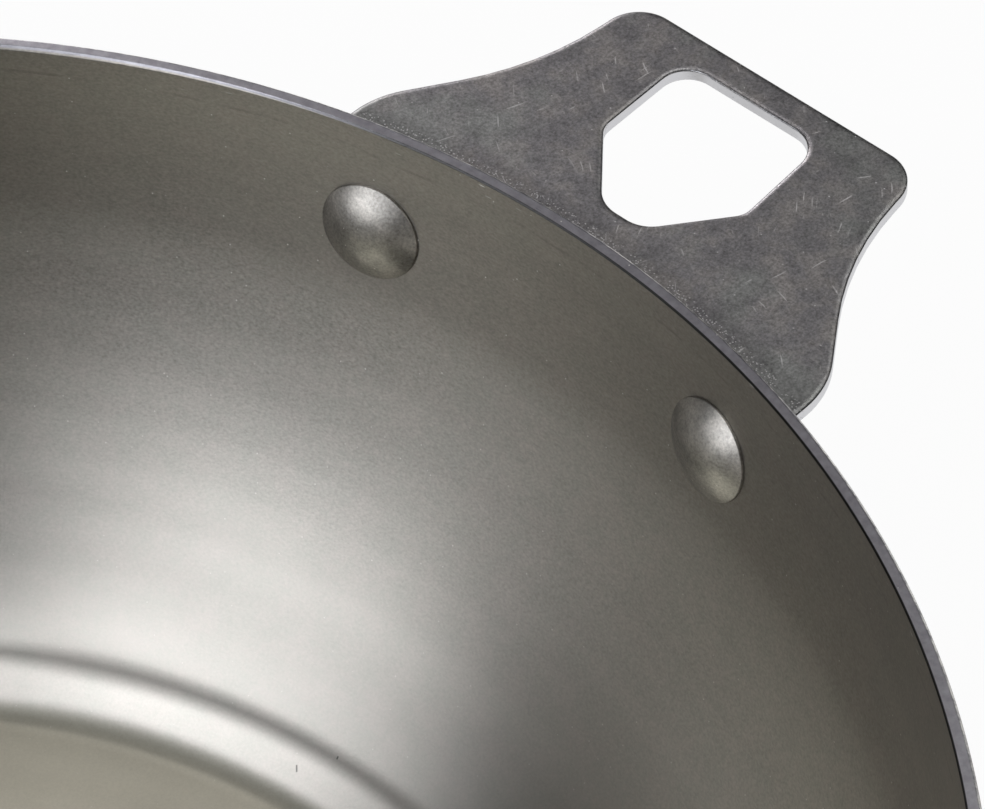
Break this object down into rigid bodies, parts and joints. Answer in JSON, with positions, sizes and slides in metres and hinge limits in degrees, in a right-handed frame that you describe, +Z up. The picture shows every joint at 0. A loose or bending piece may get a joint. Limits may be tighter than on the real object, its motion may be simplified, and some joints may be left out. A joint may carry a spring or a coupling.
{
  "type": "stewpot",
  "caption": "Shallow round stewpot of pressed sheet steel with a stepped flat floor and riveted plate handles.",
  "frame": {"origin": "centre of the underside, on the surface that the pot stands on", "axes": "+Z up through the mouth, +X through the middle of one handle, +Y across the handles"},
  "size_m": [0.3846, 0.3, 0.089],
  "materials": {
    "pot_steel": "satin",
    "handle_steel": "satin",
    "rivet_steel": "satin"
  },
  "bodies": {
    "root": {"pot_body": "pot_steel", "handle_right": "handle_steel", "handle_left": "handle_steel", "rivet_right_a": "rivet_steel", "rivet_right_b": "rivet_steel", "rivet_left_a": "rivet_steel", "rivet_left_b": "rivet_steel"}
  },
  "joints": []
}
